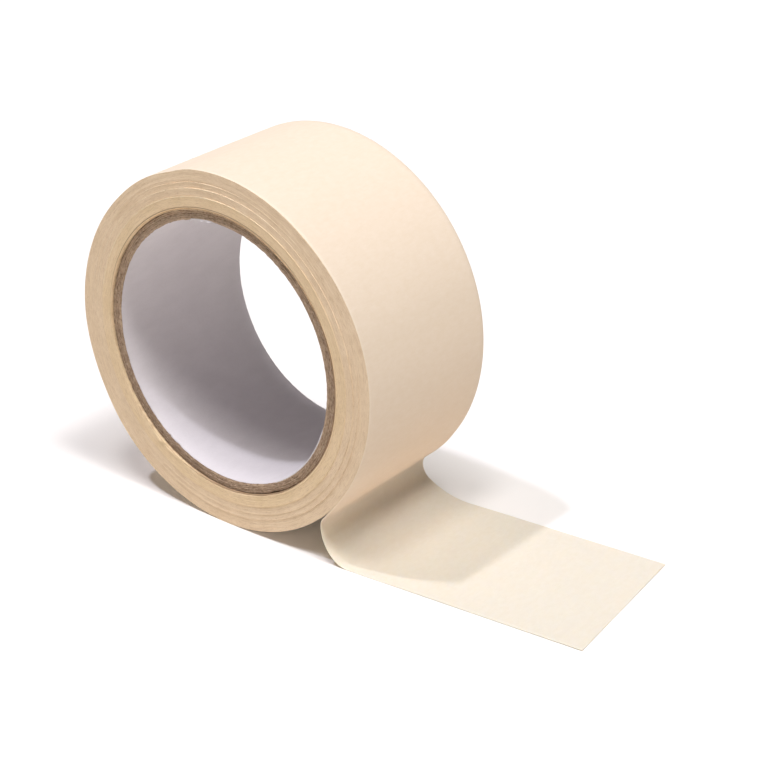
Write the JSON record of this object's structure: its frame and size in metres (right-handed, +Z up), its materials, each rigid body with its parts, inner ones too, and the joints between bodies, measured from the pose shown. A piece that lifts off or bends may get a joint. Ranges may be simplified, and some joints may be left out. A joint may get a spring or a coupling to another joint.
{
  "type": "masking tape roll",
  "caption": "Part-used roll of creped paper masking tape on a board core, standing on its tread, with the loose end turned back flat along the table; the roll turns to pay out tape.",
  "frame": {"origin": "on the bore's axis, halfway across the tape's width", "axes": "+Y runs along the bore from the front side to the back side, +X points the way the loose end lies on the table, +Z is up; the table is the plane z = -0.0522"},
  "size_m": [0.1682, 0.0573, 0.1044],
  "materials": {
    "liner_paper": "matt white uncoated liner paper",
    "core_board": "rough cut greyboard, short fibres standing up",
    "wound_tape": "slit edges of the wound turns, matt, with fine concentric lines",
    "tape_backing": "creped paper with a thin release coat, soft low sheen",
    "adhesive": "tacky translucent rubber adhesive over paper"
  },
  "bodies": {
    "turned_back_loop": {"tail_bend_backing": "tape_backing", "tail_bend_adhesive": "adhesive"},
    "roll": {"core_liner": "liner_paper", "core_ply_1": "core_board", "core_ply_2": "core_board", "core_ply_3": "core_board", "core_ply_4": "core_board", "core_ply_5": "core_board", "first_turn": "wound_tape", "wound_tape": "wound_tape", "outer_turn_adhesive": "adhesive", "outer_turn_backing": "tape_backing"},
    "loose_strip": {"tail_strip_backing": "tape_backing", "tail_strip_adhesive": "adhesive"}
  },
  "joints": [
    {"name": "roll_turn", "type": "hinge", "parent": "turned_back_loop", "child": "roll", "pos_m": [0, 0, 0], "axis": [0, 1, 0], "continuous": true},
    {"name": "tail_lift", "type": "hinge", "parent": "turned_back_loop", "child": "loose_strip", "pos_m": [0.04591, 0.00113, -0.05213], "axis": [-0.0622, -0.9981, 0], "range_deg": [-90, 75], "stiffness_Nm_per_rad": 0.0005}
  ]
}
